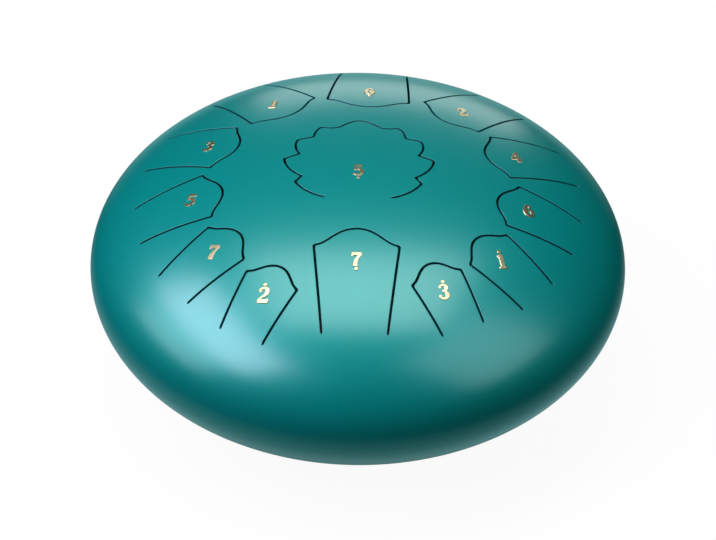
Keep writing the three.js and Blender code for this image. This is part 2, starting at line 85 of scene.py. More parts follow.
class Bowl:
    """The outside of one pressed bowl, by heights over or under the rim plane."""

    def __init__(self, rise, share, power, side):
        self.rise = rise
        self.share = share
        self.power = power
        self.side = side

    def height(self, radius):
        r = np.clip(radius / RIM_RADIUS, 0, 1)
        flat = self.share * r**2 + (1 - self.share) * r**self.power
        return self.rise * np.sqrt(np.maximum(1 - flat, 0))

    def slope(self, radius):
        """Unit normal as (outward, away from the rim plane)."""
        r = np.clip(radius / RIM_RADIUS, 0, 1)
        steep = 2 * self.share * r + (1 - self.share) * self.power * r ** (self.power - 1)
        out = steep / RIM_RADIUS
        up = 2 * self.height(radius) / self.rise**2
        length = np.hypot(out, up)
        return out / length, up / length

    def normals(self, plan):
        radius = np.hypot(*plan.T)
        away = plan / np.maximum(radius, 1e-9)[:, None]
        out, up = self.slope(radius)
        return np.column_stack([away * out[:, None], self.side * up])

    def place(self, plan, lift):
        """Points over the plan points, moved along the normal by the lift."""
        base = np.column_stack([plan, self.side * self.height(np.hypot(*plan.T))])
        moved = base + self.normals(plan) * np.broadcast_to(lift, len(plan))[:, None]
        return moved + [0, 0, RIM_HEIGHT]

    def plan_of(self, points):
        """Plan points under points that lie a little off the bowl, and how far off they are."""
        plan = points[:, :2].copy()
        for _ in range(ROUNDS):
            miss = points - self.place(plan, 0)
            normal = self.normals(plan)
            lift = (miss * normal).sum(axis=1)
            plan += (miss - normal * lift[:, None])[:, :2]
        return plan, lift


UPPER = Bowl(rise=63.5, share=0.81, power=3.5, side=1)
LOWER = Bowl(rise=64.0, share=0.75, power=3.2, side=-1)


# Outlines


def turns(steps):
    """Even angles round a circle."""
    return np.arange(steps) * 2 * np.pi / steps


def circle(radius, steps, centre=(0, 0)):
    """Points and outward directions of a circle in plan."""
    out = np.column_stack([np.cos(turns(steps)), np.sin(turns(steps))])
    return out * radius + centre, out


def open_loops(faces):
    """Closed loops of point indexes along the edges that only one face uses."""
    uses = {}
    for face in faces:
        for a, b in zip(face, face[1:] + face[:1]):
            edge = (min(a, b), max(a, b))
            uses[edge] = uses.get(edge, 0) + 1
    ways = {}
    for (a, b), count in uses.items():
        if count == 1:
            ways.setdefault(a, []).append(b)
            ways.setdefault(b, []).append(a)
    loops = []
    left = dict.fromkeys(ways)
    while left:
        loop = [next(iter(left))]
        while loop[-1] is not None:
            left.pop(loop[-1])
            loop.append(next((n for n in ways[loop[-1]] if n in left), None))
        loops.append(loop[:-1])
    return loops


def slot_walls(node):
    """Closed loops of points along both edges of the cut walls of a packed shell."""
    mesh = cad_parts[node].data
    points = np.array([vertex.co[:] for vertex in mesh.vertices]) / MM
    known = {}
    same = [known.setdefault(tuple(np.round(point, 3)), len(known)) for point in points]
    place = dict(zip(same, points))
    walls = []
    for face in mesh.polygons:
        corners = [same[v] for v in face.vertices]
        upright = abs(face.normal.z) < 0.2
        off_the_rim = np.hypot(*points[face.vertices[0]][:2]) < 0.96 * RIM_RADIUS
        if len(set(corners)) == 3 and upright and off_the_rim:
            walls.append(corners)
    return [np.array([place[i] for i in loop]) for loop in open_loops(walls)]


def corners_of(outline, tolerance=0.004):
    """Drops the points of a closed outline that lie on a straight line."""
    keep = list(range(len(outline)))
    k = 0
    misses = 0
    while misses < len(keep):
        before, here, after = (outline[keep[(k + step) % len(keep)]] for step in (-1, 0, 1))
        along = after - before
        off = abs(np.cross(along, here - before)) / max(np.hypot(*along), 1e-9)
        if off < tolerance:
            keep.pop(k % len(keep))
            misses = 0
        else:
            k += 1
            misses += 1
        k %= len(keep)
    return outline[keep]


def curve_through(points, spacing):
    """Close points on a smooth curve through the given ones, without the last."""
    steps = np.diff(points, axis=0)
    lengths = np.hypot(*steps.T)[:, None]
    slopes = steps / lengths
    if len(points) > 2:
        inner = slopes[:-1] * lengths[1:] + slopes[1:] * lengths[:-1]
        inner /= lengths[:-1] + lengths[1:]
        ways = np.vstack([2 * slopes[0] - inner[0], inner, 2 * slopes[-1] - inner[-1]])
    else:
        ways = np.vstack([slopes, slopes])
    runs = []
    for i, length in enumerate(lengths[:, 0]):
        count = max(1, round(length / spacing))
        t = (np.arange(count) / count)[:, None]
        runs.append(
            (1 + 2 * t) * (1 - t) ** 2 * points[i]
            + t * (1 - t) ** 2 * length * ways[i]
            + t * t * (3 - 2 * t) * points[i + 1]
            + t * t * (t - 1) * length * ways[i + 1]
        )
    return np.vstack(runs)


def fair_outline(outline, rounding, longest, sharp=40, spacing=0.1):
    """A faceted closed outline made smooth, with its sharp corners a little rounded.

    Corners that turn by more degrees than sharp end a curve. Gives points, up to the longest
    step apart, and unit directions out of the outline, counter-clockwise.
    """
    corners = corners_of(outline)
    after = np.roll(corners, -1, axis=0)
    if np.cross(corners, after).sum() < 0:
        corners = corners[::-1]
        after = np.roll(corners, -1, axis=0)
    heading = np.degrees(np.arctan2(*(after - corners).T[::-1]))
    turn = (heading - np.roll(heading, 1) + 180) % 360 - 180
    breaks = list(np.flatnonzero(abs(turn) > sharp)) or [0]
    runs = []
    for first, last in zip(breaks, breaks[1:] + [breaks[0] + len(corners)]):
        run = corners[np.arange(first, last + 1) % len(corners)]
        runs.append(curve_through(run, spacing))
    dense = np.vstack(runs)
    width = max(1, round(rounding / spacing))
    for _ in range(2):
        dense = sum(np.roll(dense, k, axis=0) for k in range(-width, width + 1)) / (2 * width + 1)
    along = np.roll(dense, -1, axis=0) - np.roll(dense, 1, axis=0)
    along /= np.hypot(*along.T)[:, None]
    out = np.column_stack([along[:, 1], -along[:, 0]])
    keep = thinned(dense, longest)
    return dense[keep], out[keep]


def thinned(points, longest, tolerance=0.005):
    """Indexes of the points that are enough to follow a dense closed line."""
    keep = [0]
    last = 1
    while last < len(points):
        chord = points[last] - points[keep[-1]]
        length = np.hypot(*chord)
        between = points[keep[-1] + 1 : last] - points[keep[-1]]
        off = abs(np.cross(chord, between)) / max(length, 1e-9) if len(between) else [0]
        if length > longest or max(off) > tolerance:
            keep.append(last - 1 if last - 1 > keep[-1] else last)
        last += 1
    return keep


def inside(points, outline):
    """Which points lie inside a closed outline."""
    hit = np.zeros(len(points), bool)
    for a, b in zip(outline, np.roll(outline, -1, axis=0)):
        crosses = (a[1] > points[:, 1]) != (b[1] > points[:, 1])
        with np.errstate(divide="ignore", invalid="ignore"):
            x = a[0] + (points[:, 1] - a[1]) * (b[0] - a[0]) / (b[1] - a[1])
        hit ^= crosses & (points[:, 0] < x)
    return hit


def dotted(loop, gap):
    """Points along a closed loop, no further apart than the gap."""
    along = np.roll(loop, -1, axis=0) - loop
    counts = np.ceil(np.hypot(*along.T) / gap).astype(int)
    return np.vstack([
        start + way * np.arange(count)[:, None] / count
        for start, way, count in zip(loop, along, np.maximum(counts, 1))
    ])


def filled(border, holes, spacing, clear=0.6):
    """Triangles over a flat area with holes.

    The points inside keep clear of the edges by a share of their spacing. Gives the points (the
    border's first, then each hole's, then the rest), the triangles, counter-clockwise, and the
    first index of each loop.
    """
    loops = [border, *holes]
    starts = np.cumsum([0] + [len(loop) for loop in loops])
    edges = [
        (start + i, start + (i + 1) % len(loop))
        for start, loop in zip(starts, loops)
        for i in range(len(loop))
    ]
    low, high = border.min(axis=0), border.max(axis=0)
    rows = np.arange(low[1], high[1], spacing * math.sqrt(3) / 2)
    grid = np.vstack([
        np.column_stack([np.arange(low[0] + spacing / 2 * (k % 2), high[0], spacing)] * 2)
        * [1, 0] + [0, y]
        for k, y in enumerate(rows)
    ])
    grid = grid[inside(grid, border)]
    for hole in holes:
        grid = grid[~inside(grid, hole)]
    gap = clear * spacing
    near = np.vstack([dotted(loop, gap) for loop in loops])
    rim = KDTree(len(near))
    for i, point in enumerate(near):
        rim.insert((*point, 0), i)
    rim.balance()
    grid = np.array([p for p in grid if rim.find((*p, 0))[2] > gap])
    points = np.vstack([*loops, grid.reshape(-1, 2)])
    flat = [Vector(point) for point in points]
    found = delaunay_2d_cdt(flat, edges, [], 1, 1e-7)
    if len(found[0]) != len(points):
        raise RuntimeError("an outline crosses itself")
    triangles = np.array(found[2])
    drop = np.zeros(len(triangles), bool)
    for start, hole in zip(starts[1:], holes):
        size = len(hole)
        # a triangle inside the hole has all its corners on it, in the order of the hole's own
        near = ((triangles >= start) & (triangles < start + size)).all(axis=1)
        steps = (np.roll(triangles, -1, axis=1) - triangles) % size
        drop |= near & (steps.sum(axis=1) == size)
    return points, triangles[~drop], starts[:-1]


# Meshes


def new_object(name, data):
    thing = bpy.data.objects.new(name, data)
    bpy.context.scene.collection.objects.link(thing)
    return thing


def make_piece(name, points, faces, material, replaced, normals=None, flat=()):
    """A mesh object from points in millimetres, riding on the drum.

    The normals belong to the points, and the faces listed in flat keep their own.
    """
    mesh = bpy.data.meshes.new(name)
    mesh.from_pydata((np.asarray(points) * MM).tolist(), [], faces)
    mesh.validate()
    mesh.shade_smooth()
    if normals is None:
        mesh.set_sharp_from_angle(angle=math.radians(35))
    else:
        own = set(flat)
        mesh.normals_split_custom_set([
            mesh.polygons[face.index].normal if face.index in own else normals[v]
            for face in mesh.polygons
            for v in face.vertices
        ])
    mesh.materials.append(material)
    piece = new_object(name, mesh)
    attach(piece, "root")
    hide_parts(*replaced)
    return piece


def strip(first, second, count, turned=False):
    """Quads between two closed rings of points, given by their first indexes."""
    quads = []
    for i in range(count):
        j = (i + 1) % count
        quad = [first + i, first + j, second + j, second + i]
        quads.append(quad[::-1] if turned else quad)
    return quads


def turned_rings(profile, steps, closed=False):
    """Points and faces of a profile turned about the Z axis. A profile point is
    (radius, height), each a number or an array over the angles.
    """
    out = circle(1, steps)[1]
    rings = []
    for radius, height in profile:
        across = out * np.broadcast_to(radius, steps)[:, None]
        rings.append(np.column_stack([across, np.broadcast_to(height, steps)]))
    faces = []
    for k in range(len(profile) - (not closed)):
        faces += strip(k * steps, (k + 1) % len(profile) * steps, steps)
    return np.vstack(rings), faces


def flatten(plan):
    """Unrolls the shoulder, so that even steps on the flat are near even on the bowl."""
    radius = np.hypot(*plan.T)
    angle = np.arcsin(np.minimum(radius / RIM_RADIUS, 1))
    return plan * (RIM_RADIUS * angle / np.maximum(radius, 1e-9))[:, None]


def unflatten(flat):
    reach = np.hypot(*flat.T)
    radius = RIM_RADIUS * np.sin(np.minimum(reach / RIM_RADIUS, np.pi / 2))
    return flat * (radius / np.maximum(reach, 1e-9))[:, None]


def pressed_shell(node, bowl, holes, sizes, materials):
    """A bowl of even thickness with holes cut square to it, their edges rounded by paint.

    The second material is for the cut walls.
    """
    steps = sizes.steps_round
    flat_rim = circle(np.pi / 2 * RIM_RADIUS, steps)[0]
    edge = sizes.edge_round / MM
    lips = [outline + out * edge for outline, out in holes]
    flat, triangles, starts = filled(flat_rim, [flatten(lip) for lip in lips], sizes.mesh_step / MM)
    plan = unflatten(flat)
    count = len(plan)
    normals = bowl.normals(plan)
    points = [bowl.place(plan, 0), bowl.place(plan, -SHEET)]
    ways = [normals, -normals]
    up = bowl.side > 0
    outside = triangles if up else triangles[:, ::-1]
    faces = outside.tolist() + (outside[:, ::-1] + count).tolist()
    rim = range(len(faces), len(faces) + steps)
    faces += strip(0, count, steps, turned=up)
    total = 2 * count
    bends = [(0, -1, angle) for angle in EASED] + [(-SHEET, 1, angle) for angle in EASED[::-1]]
    cut = []
    for (outline, out), start in zip(holes, starts[1:]):
        size = len(outline)
        ring = start
        slant = np.column_stack([out, np.zeros(size)])
        # the outside's paint covers the first two strips of the edge, and the wall starts there
        wall = len(faces) + 2 * size
        for face_lift, sign, angle in bends:
            spot = outline + out * edge * (1 - math.sin(angle))
            lift = face_lift + sign * edge * (1 - math.cos(angle))
            points.append(bowl.place(spot, lift))
            normal = bowl.normals(spot)
            side = slant - normal * (slant * normal).sum(axis=1)[:, None]
            side /= np.linalg.norm(side, axis=1)[:, None]
            ways.append(normal * -sign * math.cos(angle) - side * math.sin(angle))
            faces += strip(ring, total, size, turned=not up)
            ring = total
            total += size
        faces += strip(ring, start + count, size, turned=not up)
        cut += range(wall, len(faces))
    shell = make_piece(
        f"{node}_enamelled", np.vstack(points), faces, materials[0], [node],
        np.vstack(ways), rim,
    )
    shell.data.materials.append(materials[1])
    for i in cut:
        shell.data.polygons[i].material_index = 1


def slot_outlines(sizes):
    """The thirteen slots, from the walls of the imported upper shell."""
    loops = sorted(slot_walls("upper_shell"), key=lambda loop: tuple(loop[:, :2].mean(axis=0)))
    tops = [loop for loop in loops if UPPER.plan_of(loop)[1].mean() > -SHEET / 2]
    rounding = sizes.corner_round / MM
    return [fair_outline(loop[:, :2], rounding, longest=2.0) for loop in tops]


def foot_angle(i):
    return (i + 0.5) / FOOT_COUNT * 2 * math.pi


def bowl_holes():
    """The sound hole and the screw holes of the lower shell."""
    holes = [circle(SOUND_HOLE_RADIUS, steps=160)]
    for i in range(FOOT_COUNT):
        centre = FOOT_CIRCLE * np.array([math.cos(foot_angle(i)), math.sin(foot_angle(i))])
        holes.append(circle(BORE, steps=32, centre=centre))
    return holes


# Foil marks


# Each numeral's strokes and balls, in hundredths of its height. A stroke is a row of points
# (x, y, width) and a ball is (x, y, radius).
NUMERALS = {
    "1": ([
        [(2, 50, 19), (2, -46, 19)], [(6, 45, 13), (-16, 30, 11)], [(-20, -45, 10), (24, -45, 10)],
    ], []),
    "2": ([
        [
            (-23, 20, 6), (-18, 36, 9), (-1, 44, 12), (16, 35, 16),
            (17, 15, 17), (8, -3, 14), (-12, -22, 10), (-22, -40, 12),
        ],
        [(-28, -42, 16), (29, -42, 16)], [(23, -40, 12), (26, -22, 6)],
    ], [(-18, 22, 9)]),
    "3": ([
        [(-22, 31, 6), (-10, 43, 10), (8, 43, 13), (16, 27, 17), (7, 9, 12), (-7, 4, 10)],
        [(-7, 4, 10), (10, 1, 12), (19, -19, 18), (10, -40, 13), (-8, -44, 10), (-24, -32, 6)],
    ], [(-17, 29, 9), (-19, -29, 9)]),
    "4": ([
        [(12, 50, 16), (12, -46, 16)], [(10, 46, 10), (-27, -18, 9)],
        [(-31, -20, 11), (30, -20, 11)], [(-3, -45, 10), (27, -45, 10)],
    ], []),
    "5": ([
        [(-21, 43, 14), (22, 43, 14)], [(-17, 45, 9), (-19, 4, 8)],
        [
            (-19, 5, 7), (2, 13, 11), (18, 0, 16), (19, -22, 17),
            (4, -42, 12), (-12, -42, 9), (-24, -33, 6),
        ],
    ], [(-19, -31, 9)]),
    "6": ([
        [
            (21, 36, 6), (6, 44, 10), (-10, 31, 14), (-19, 3, 17),
            (-17, -25, 16), (-2, -43, 11), (8, -41, 11),
        ],
        [(-16, -8, 6), (-2, 7, 10), (15, 1, 15), (19, -18, 17), (12, -38, 13), (-4, -43, 10)],
    ], [(17, 32, 9)]),
    "7": ([
        [(-26, 42, 16), (29, 42, 16)], [(-20, 40, 12), (-23, 21, 6)],
        [(25, 42, 10), (7, 13, 13), (-3, -15, 18), (-5, -50, 20)],
    ], []),
}
DIGIT_HEIGHT = 9.0
BREADTH = 1.12
WEIGHT = 1.55
DOT_RADIUS = 1.1
DOT_GAP = 0.5
DOT_STEPS = 48
FOIL_GAP = 0.02
LEAN_AT_RIM = math.radians(30)


def ribbon(stroke):
    """Outline of a stroke, with flat ends, smooth through its points and widths."""
    knots = np.array(stroke) / 100 * [BREADTH, 1, WEIGHT] * DIGIT_HEIGHT
    if len(knots) > 2:
        ends = np.vstack([2 * knots[0] - knots[1], knots, 2 * knots[-1] - knots[-2]])
        steps = 10
        t = (np.arange(steps) / steps)[:, None]
        runs = [
            b + 0.5 * t * (c - a + t * (2 * a - 5 * b + 4 * c - d + t * (3 * (b - c) + d - a)))
            for a, b, c, d in zip(ends, ends[1:], ends[2:], ends[3:])
        ]
        knots = np.vstack([*runs, knots[-1:]])
    line, half = knots[:, :2], knots[:, 2:] / 2
    along = np.gradient(line, axis=0)
    along /= np.hypot(*along.T)[:, None]
    across = np.column_stack([along[:, 1], -along[:, 0]]) * half
    return np.vstack([line + across, (line - across)[::-1]])


def united(outlines):
    """Closed loops round the area that overlapping outlines cover together."""
    starts = np.cumsum([0] + [len(outline) for outline in outlines])
    flat = [Vector(point) for point in np.vstack(outlines)]
    areas = [list(range(a, b)) for a, b in zip(starts, starts[1:])]
    points, _, triangles, _, _, covers = delaunay_2d_cdt(flat, [], areas, 1, 1e-4)
    covered = [list(triangle) for triangle, cover in zip(triangles, covers) if cover]
    return [np.array([points[i][:] for i in loop]) for loop in open_loops(covered)]


def depth_inside(plan, loops):
    """Distance of plan points to the nearest edge of closed loops."""
    a = np.vstack(loops)
    along = np.vstack([np.roll(loop, -1, axis=0) for loop in loops]) - a
    share = ((plan[:, None] - a) * along).sum(axis=2) / (along**2).sum(axis=1)
    nearest = a + along * np.clip(share, 0, 1)[:, :, None]
    return np.linalg.norm(plan[:, None] - nearest, axis=2).min(axis=1)


def mark_outlines(node):
    """Flat outlines of a numeral or of its octave dot; the two are centred together."""
    kind, octave, number = node.split("_")
    step = {"low": -1, "mid": 0, "high": 1}[octave]
    middle = -step * (DOT_GAP + 2 * DOT_RADIUS) / 2
    if kind == "dot":
        away = middle + step * (DIGIT_HEIGHT / 2 + DOT_GAP + DOT_RADIUS)
        return [circle(DOT_RADIUS, DOT_STEPS, (0, away))[0]]
    strokes, balls = NUMERALS[number]
    outlines = [ribbon(stroke) for stroke in strokes]
    for x, y, radius in np.array(balls).reshape(-1, 3) / 100 * [BREADTH, 1, 1] * DIGIT_HEIGHT:
        outlines.append(circle(radius, DOT_STEPS, (x, y))[0])
    return [outline + [0, middle] for outline in outlines]


def mark_axes(place):
    """A mark's sideways and upward axes in plan: it leans to the centre line and lies flat."""
    lean = LEAN_AT_RIM * place[0] / RIM_RADIUS
    normal = UPPER.normals(place[None])[0]
    upward = np.array([-math.sin(lean), math.cos(lean), 0])
    upward -= normal * upward.dot(normal)
    upward /= np.linalg.norm(upward)
    return np.column_stack([np.cross(upward, normal), upward])[:2]


def mark_seat(node, outlines):
    """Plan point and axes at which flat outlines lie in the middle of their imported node."""
    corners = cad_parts[node].data.vertices
    plan = UPPER.plan_of(np.array([corner.co[:] for corner in corners]) / MM)[0]
    flat = np.vstack(outlines)
    place = plan.mean(axis=0)
    for _ in range(ROUNDS):
        axes = mark_axes(place)
        local = np.linalg.solve(axes, (plan - place).T).T
        off = (local.min(axis=0) + local.max(axis=0) - flat.min(axis=0) - flat.max(axis=0)) / 2
        place = place + axes @ off
    return place, axes


def foil_mark(node, sizes, material):
    """A raised foil mark with a pillowed face."""
    outlines = mark_outlines(node)
    corner = sizes.foil_corner / MM
    # the limit of -1 takes each point as a corner, as these outlines are dense already
    loops = [
        fair_outline(loop, corner, longest=0.4, sharp=-1, spacing=0.03)[0]
        for loop in united(outlines)
    ]
    loops.sort(key=lambda loop: -np.ptp(loop[:, 0]) * np.ptp(loop[:, 1]))
    flat, triangles, starts = filled(loops[0], loops[1:], sizes.foil_step / MM, clear=0.5)
    reach = np.minimum(depth_inside(flat, loops) / (sizes.foil_bevel / MM), 1)
    side = sizes.foil_side / MM
    lift = side + (sizes.foil_rise / MM - side) * np.sqrt(1 - (1 - reach) ** 2)
    place, axes = mark_seat(node, outlines)
    plan = place + flat @ axes.T
    points = np.vstack([UPPER.place(plan, lift), UPPER.place(plan, FOIL_GAP)])
    count = len(plan)
    faces = triangles.tolist() + (triangles[:, ::-1] + count).tolist()
    for start, loop in zip(starts, loops):
        faces += strip(start, start + count, len(loop), turned=start == 0)
    make_piece(f"foil_{node}", points, faces, material, [node])


# Feet and fasteners


def foot_place(i):
    """Turns local points of a foot, Z into the drum from the bowl's outside, into the part."""
    out, down = LOWER.slope(np.array([FOOT_CIRCLE]))
    axis = np.array([-out[0], 0, down[0]])
    across = np.array([down[0], 0, out[0]])
    origin = np.array([FOOT_CIRCLE, 0, RIM_HEIGHT - LOWER.height(np.array([FOOT_CIRCLE]))[0]])
    angle = foot_angle(i)
    turn = np.array([
        [math.cos(angle), -math.sin(angle), 0],
        [math.sin(angle), math.cos(angle), 0],
        [0, 0, 1],
    ])
    basis = turn @ np.column_stack([across, [0, 1, 0], axis])
    return lambda local: local @ basis.T + turn @ origin


def height_on_bowl(radius, steps):
    """How far up its axis a foot's points at a radius meet the bowl, for each angle."""
    place = foot_place(0)
    height = np.zeros(steps)
    for _ in range(12):
        local = np.column_stack([circle(radius, steps)[0], height])
        height = height + LOWER.plan_of(place(local))[1]
    return height - FIT


def height_on_floor(radius, steps):
    """The same for the floor under the foot."""
    place = foot_place(0)
    at_zero = place(np.column_stack([circle(radius, steps)[0], np.zeros(steps)]))
    rise = (place(np.array([[0.0, 0.0, 1.0]])) - place(np.zeros((1, 3))))[0, 2]
    return -at_zero[:, 2] / rise


def foot_profile(steps):
    """The rubber foot from its bore out along the bowl, down its wall and in along the sole."""
    mid_radii = (5, 8)
    profile = [
        (radius, height_on_bowl(radius, steps))
        for radius in (BORE, *mid_radii, FOOT_TOP_RADIUS - FOOT_SOFT)
    ]
    crest = height_on_bowl(FOOT_TOP_RADIUS, steps)
    sole = height_on_floor(FOOT_SOLE_RADIUS, steps)
    for angle in EASED:
        radius = FOOT_TOP_RADIUS - FOOT_SOFT * (1 - math.sin(angle))
        profile.append((radius, crest - FOOT_SOFT * (1 - math.cos(angle))))
    for share in (0.35, 0.65):
        radius = FOOT_TOP_RADIUS + (FOOT_SOLE_RADIUS - FOOT_TOP_RADIUS) * share
        profile.append((radius, crest + (sole - crest) * share))
    for angle in (0, *EASED):
        radius = FOOT_SOLE_RADIUS - FOOT_SOFT * (1 - math.cos(angle))
        profile.append((radius, height_on_floor(radius, steps) + FOOT_SOFT * (1 - math.sin(angle))))
    for out, rise in ((0.6, 0), (0.15, 0.12), (0, 0.5)):
        profile.append((FOOT_WELL + out, height_on_floor(FOOT_WELL + out, steps) + rise))
    inner = 0.4
    profile += [(FOOT_WELL, -FOOT_PAD - inner), (FOOT_WELL - inner, -FOOT_PAD), (BORE, -FOOT_PAD)]
    return profile[::-1]


# The screw's bearing face, along the foot's axis
HEAD_SEAT = -FOOT_PAD - FIT
HEAD_RADIUS = 4.0
HEAD_HEIGHT = 2.6
HEAD_EDGE = 0.15
RECESS_SPAN = 4.6
RECESS_WIDTH = 0.86
RECESS_DEPTH = 1.2
RECESS_TAPER = 0.8
THREAD_PITCH = 0.7
THREAD_DEPTH = 0.38
THREAD_RUN_OUT = 1.2
THREAD_ROWS = 6
SCREW_TIP = 8.4
SCREW_STEPS = 48
WASHER_STEPS = 48
NUT_STEPS = 72


def head_height(radius):
    """Height of the domed head over its bearing face."""
    return HEAD_HEIGHT * np.maximum(1 - (radius / HEAD_RADIUS) ** 3.2, 0) ** 0.45


def screw_rings():
    """Rings (radius, height) of a pan-head screw from the head's face to the tip of its thread."""
    wall, least = 0.35, 0.45
    dome = np.array([0.74, 0.82, 0.89, 0.94, 0.975, 0.995]) * HEAD_RADIUS
    rings = [(radius, HEAD_SEAT - max(head_height(radius), least)) for radius in dome]
    rings += [(HEAD_RADIUS, HEAD_SEAT - wall), (HEAD_RADIUS, HEAD_SEAT - HEAD_EDGE)]
    rings.append((HEAD_RADIUS - HEAD_EDGE, HEAD_SEAT))
    point, point_height = 0.4, 0.6
    rows = round((SCREW_TIP - HEAD_SEAT) / THREAD_PITCH * THREAD_ROWS)
    for height in np.linspace(HEAD_SEAT, SCREW_TIP, rows + 1):
        turn = (height / THREAD_PITCH - turns(SCREW_STEPS) / (2 * np.pi)) % 1
        run_out = min((height - HEAD_SEAT) / THREAD_RUN_OUT, 1)
        thread = THREAD_DEPTH * abs(2 * turn - 1) * run_out
        chamfer = point * max(0, 1 - (SCREW_TIP - height) / point_height)
        rings.append((SCREW_RADIUS - np.maximum(thread, chamfer), height))
    return rings


def build_screw(name, node, place, material):
    """The screw is turned, and the middle of its head is filled round a pressed cross recess."""
    steps = SCREW_STEPS
    body, faces = turned_rings(screw_rings(), steps)
    faces.append(list(range(len(body) - steps, len(body))))
    half, arm = RECESS_WIDTH / 2, RECESS_SPAN / 2
    cross = np.array([
        (x * c - y * s, x * s + y * c)
        for c, s in ((1, 0), (0, 1), (-1, 0), (0, -1))
        for x, y in ((arm, -half), (arm, half), (half, half))
    ])
    cross = fair_outline(cross, rounding=0.12, longest=0.4, spacing=0.05)[0]
    flat, triangles, starts = filled(body[:steps, :2], [cross], spacing=0.35, clear=0.5)
    top = len(body)
    index = np.append(np.arange(steps), np.arange(steps, len(flat)) + top - steps)
    faces += index[triangles[:, ::-1]].tolist()
    face = np.column_stack([flat, HEAD_SEAT - head_height(np.hypot(*flat.T))])
    floor, patches, _ = filled(cross * RECESS_TAPER, [], spacing=0.4, clear=0.5)
    bottom = top + len(flat) - steps
    faces += strip(index[starts[1]], bottom, len(cross), turned=True)
    faces += (patches[:, ::-1] + bottom).tolist()
    sunk = np.column_stack([floor, np.full(len(floor), HEAD_SEAT - HEAD_HEIGHT + RECESS_DEPTH)])
    points = place(np.vstack([body, face[steps:], sunk]))
    make_piece(name, points, faces, material, [node])


def washer_profile():
    low, high, rim, soft = 2.1, 3.1, 6.0, 0.12
    return [
        (BORE, low + soft), (BORE + soft, low), (rim - 2 * soft, low), (rim, low + 2 * soft),
        (rim, high - 2 * soft), (rim - 2 * soft, high), (BORE + soft, high), (BORE, high - soft),
    ]


def nut_profile(steps):
    """Hexagon nut with chamfered corners."""
    low, high, flats, lip = 3.4, 6.6, 3.5, 0.3
    face = flats * 0.98
    hexagon = flats / np.cos(turns(steps) % (np.pi / 3) - np.pi / 6)
    chamfer = np.maximum(hexagon - face, 0) * math.tan(math.radians(30))
    return [
        (BORE, low + lip), (BORE + lip, low), (face, low), (hexagon, low + chamfer),
        (hexagon, high - chamfer), (face, high), (BORE + lip, high), (BORE, high - lip),
    ]


# Finishes


def colour(code):
    """Linear colour from an sRGB hex value."""
    parts = [int(code[i : i + 2], 16) / 255 for i in (1, 3, 5)]
    return tuple(c / 12.92 if c <= 0.04045 else ((c + 0.055) / 1.055) ** 2.4 for c in parts)


def add_node(tree, kind, sockets=(), **settings):
    """Adds a node. A socket's value is a plain value, another node's output, or another node,
    which stands for the first of its outputs that is in use.
    """
    node = tree.nodes.new("ShaderNode" + kind)
    for name, value in settings.items():
        setattr(node, name, value)
    for socket, value in dict(sockets).items():
        if isinstance(value, bpy.types.Node):
            value = next(output for output in value.outputs if output.enabled)
        if isinstance(value, bpy.types.NodeSocket):
            tree.links.new(value, node.inputs[socket])
        else:
            node.inputs[socket].default_value = value
    return node


def finish(recipe, settings):
    """A material named after its recipe. The recipe gets the function that adds nodes to the
    material and the place on the object, in metres, and gives the node of the surface.
    """
    material = bpy.data.materials.new(recipe.__name__)
    material.use_nodes = True
    material.node_tree.nodes.clear()
    add = partial(add_node, material.node_tree)
    place = add("TexCoord").outputs["Object"]
    add("OutputMaterial", {"Surface": recipe(add, place, settings)})
    return material


def rgba(linear):
    return (*linear, 1.0)


def shades(base, low, high):
    """The two ends of a mix between a darker and a lighter shade of a colour."""
    return {"A": rgba(Vector(base) * low), "B": rgba(Vector(base) * high)}


def swing(middle, change):
    """The settings that let a noise, mostly within 0.3 to 0.7, move a value about its middle."""
    return {"From Min": 0.3, "From Max": 0.7, "To Min": middle - change, "To Max": middle + change}


def scale_of(size):
    """Scale of a pattern whose features are as wide as the size, in millimetres."""
    return 1 / MM / size


def baked_flake_enamel(add, place, sizes):
    """Satin enamel with fine aluminium flake, sprayed on pressed steel and baked. The flake makes
    the lit sides glow and the turned ones fall off deep, with a wide soft highlight over them.
    Close by, the eye sees the faint orange peel and the grain that spraying leaves.
    """
    clouds = add("TexNoise", {"Vector": place, "Scale": scale_of(45), "Detail": 2.0})
    peel = add("TexNoise", {"Vector": place, "Scale": scale_of(1.6), "Detail": 1.0})
    # real flake is under 0.1 mm wide and wouldn't show, so its grain is drawn coarser
    grain = add("TexNoise", {"Vector": place, "Scale": scale_of(0.45), "Detail": 2.0})
    shaded = shades(sizes.paint_colour, 0.985, 1.015)
    tint = add("Mix", {"Factor": clouds, **shaded}, data_type="RGBA")
    speck = add("MapRange", {"Value": grain, **swing(1.0, 0.03)})
    tone = add("VectorMath", {0: tint, 1: speck}, operation="MULTIPLY")
    gloss = add("MapRange", {"Value": peel, **swing(sizes.paint_roughness, 0.02)})
    waves = add("Bump", {"Height": peel, "Strength": 0.35, "Distance": 0.012 * MM})
    bumps = add("Bump", {
        "Height": grain, "Strength": 0.35, "Distance": 0.01 * MM, "Normal": waves,
    })
    return add("BsdfPrincipled", {
        "Base Color": tone,
        "Metallic": sizes.paint_flake,
        "Roughness": gloss,
        "Specular IOR Level": 0.0,
        "Coat Weight": sizes.varnish,
        "Coat IOR": 1.6,
        "Coat Roughness": sizes.varnish_roughness,
        "Normal": bumps,
        "Coat Normal": waves,
    })


